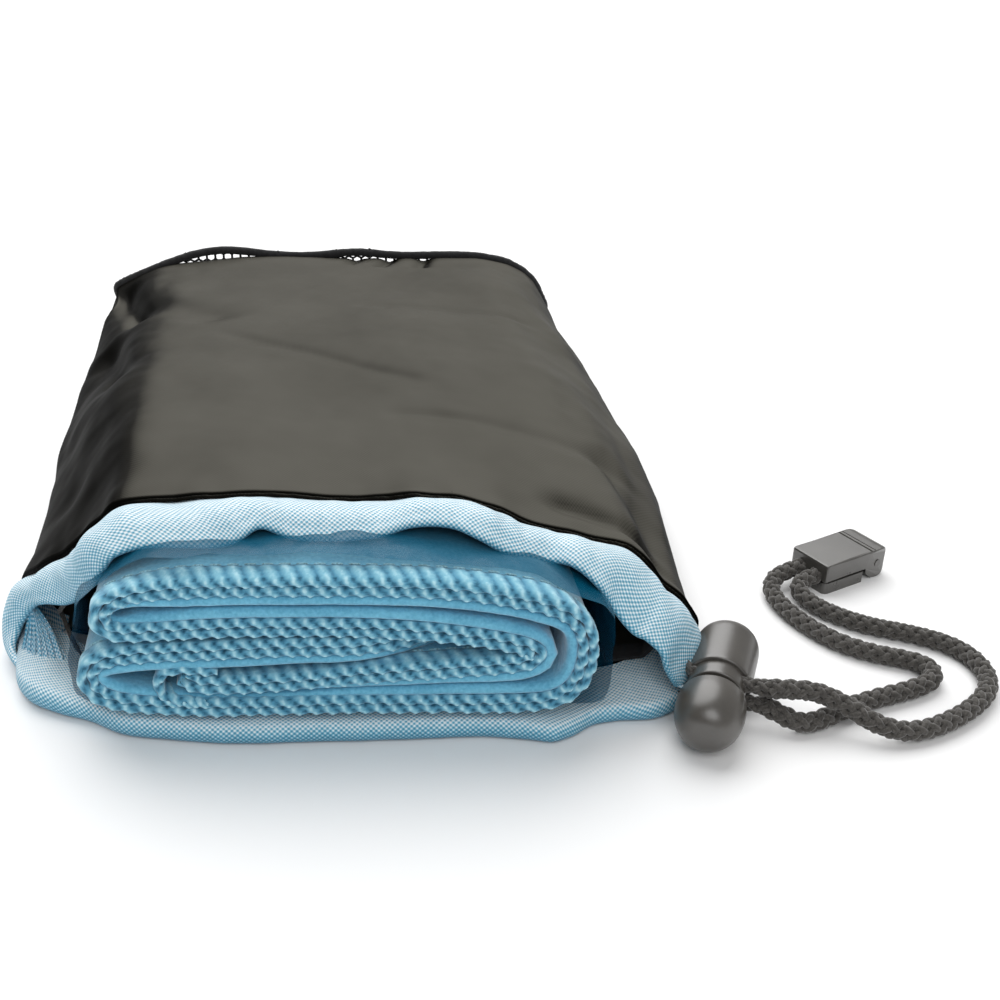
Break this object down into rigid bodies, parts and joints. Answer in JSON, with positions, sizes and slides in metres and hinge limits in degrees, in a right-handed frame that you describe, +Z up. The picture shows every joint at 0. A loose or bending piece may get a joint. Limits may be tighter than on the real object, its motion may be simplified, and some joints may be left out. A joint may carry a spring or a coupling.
{
  "type": "quick dry towel in drawstring pouch",
  "caption": "folded quick dry travel towel in a clear film sleeve, inside a flat coated-nylon pouch with a woven drawstring casing, a cord lock and a hinged cord end",
  "frame": {"origin": "on the surface the pouch lies on, under the middle of the pouch", "axes": "+Z up, +Y to the pouch's closed end along its length, +X to the side that the cords come out of"},
  "size_m": [0.1899, 0.2142, 0.0406],
  "materials": {
    "nylon": "thin coated woven nylon with a soft sheen",
    "casing": "light blue basket-woven band, matt",
    "thread_blue": "polyester sewing thread",
    "binding": "narrow folded binding tape",
    "mesh": "knitted polyester mesh",
    "towel": "suede-like microfibre, very matt",
    "overlock": "overlocked edge threads",
    "film": "clear thin polypropylene film",
    "cord": "dark grey round braid",
    "lock": "moulded acetal, satin",
    "spring_steel": "drawn spring wire",
    "cord_end": "moulded nylon, satin"
  },
  "bodies": {
    "pouch": {"pouch_top_panel": "nylon", "pouch_base_panel": "nylon", "hem_welt_top": "nylon", "casing_stitching": "thread_blue", "casing_band_top": "casing", "casing_band_base": "casing", "mouth_lining": "binding", "end_seam": "binding", "mesh_end_panel": "mesh", "side_seam_left": "binding", "side_seam_right": "binding", "drawcord_in_casing": "cord", "drawcord_strand_a": "cord", "drawcord_strand_b": "cord", "cord_knots": "cord", "cord_end_body": "cord_end", "cord_end_pin": "spring_steel"},
    "sleeve": {"clear_sleeve": "film"},
    "towel_bundle": {"towel": "towel", "towel_overlock_edge": "overlock"},
    "lock": {"lock_barrel": "lock", "lock_spring": "spring_steel"},
    "plunger": {"lock_plunger": "lock"},
    "lid": {"cord_end_lid": "cord_end"}
  },
  "joints": [
    {"name": "sleeve_slide", "type": "slide", "parent": "pouch", "child": "sleeve", "axis": [0, -1, 0], "range_m": [0, 0.19]},
    {"name": "towel_slide", "type": "slide", "parent": "sleeve", "child": "towel_bundle", "axis": [0, -1, 0], "range_m": [0, 0.185]},
    {"name": "lock_slide", "type": "slide", "parent": "pouch", "child": "lock", "axis": [0.9135, -0.4067, 0], "range_m": [0, 0.003]},
    {"name": "plunger_press", "type": "slide", "parent": "lock", "child": "plunger", "axis": [0.4067, 0.9135, 0], "range_m": [0, 0.003], "stiffness_N_per_m": 600, "springref_m": -0.003, "deforming": ["lock_spring"]},
    {"name": "lid_hinge", "type": "hinge", "parent": "pouch", "child": "lid", "pos_m": [0.11169, -0.04523, 0.0035], "axis": [-0.4305, 0.9026, 0], "range_deg": [0, 100]}
  ]
}
